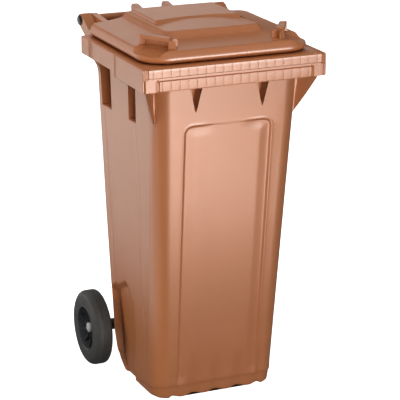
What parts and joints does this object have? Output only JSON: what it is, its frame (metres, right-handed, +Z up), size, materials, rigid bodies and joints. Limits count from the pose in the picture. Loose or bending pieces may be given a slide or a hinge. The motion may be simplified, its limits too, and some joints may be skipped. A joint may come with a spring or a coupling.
{
  "type": "wheelie bin",
  "caption": "Two-wheeled waste container with a hinged lid, a bar handle on two arms, a deep collar and solid rubber wheels on a steel axle.",
  "frame": {"origin": "on the ground, under the middle of the bin's bounding box", "axes": "+Z up, -Y towards the front where the lid's grips are, +Y towards the handle and wheels, +X to the bin's right side seen from the front"},
  "size_m": [0.485, 0.56, 0.9585],
  "materials": {
    "body": "satin moulded polyethylene, brown",
    "black_plastic": "satin",
    "rim": "satin, blue-black",
    "grey_plastic": "satin, light grey",
    "tyre": "matt solid rubber",
    "steel": "zinc plated"
  },
  "bodies": {
    "root": {"body_tub": "body", "handle_rod": "body", "rod_cap_left": "black_plastic", "rod_cap_right": "black_plastic", "axle": "steel", "spacer_left": "black_plastic", "spacer_right": "black_plastic", "washer_inner_left": "steel", "washer_inner_right": "steel", "washer_outer_left": "steel", "washer_outer_right": "steel", "axle_clip_left": "steel", "axle_clip_right": "steel"},
    "lid": {"lid": "body"},
    "wheel_left": {"tyre_left": "tyre", "rim_left": "rim", "hub_bush_left": "grey_plastic", "hub_cap_left": "grey_plastic"},
    "wheel_right": {"tyre_right": "tyre", "rim_right": "rim", "hub_bush_right": "grey_plastic", "hub_cap_right": "grey_plastic"}
  },
  "joints": [
    {"name": "lid_hinge", "type": "hinge", "parent": "root", "child": "lid", "pos_m": [0, 0.249, 0.9115], "axis": [-1, 0, 0], "range_deg": [0, 270]},
    {"name": "wheel_left_spin", "type": "hinge", "parent": "root", "child": "wheel_left", "pos_m": [-0.2195, 0.152, 0.1], "axis": [1, 0, 0], "continuous": true},
    {"name": "wheel_right_spin", "type": "hinge", "parent": "root", "child": "wheel_right", "pos_m": [0.2195, 0.152, 0.1], "axis": [1, 0, 0], "continuous": true}
  ]
}
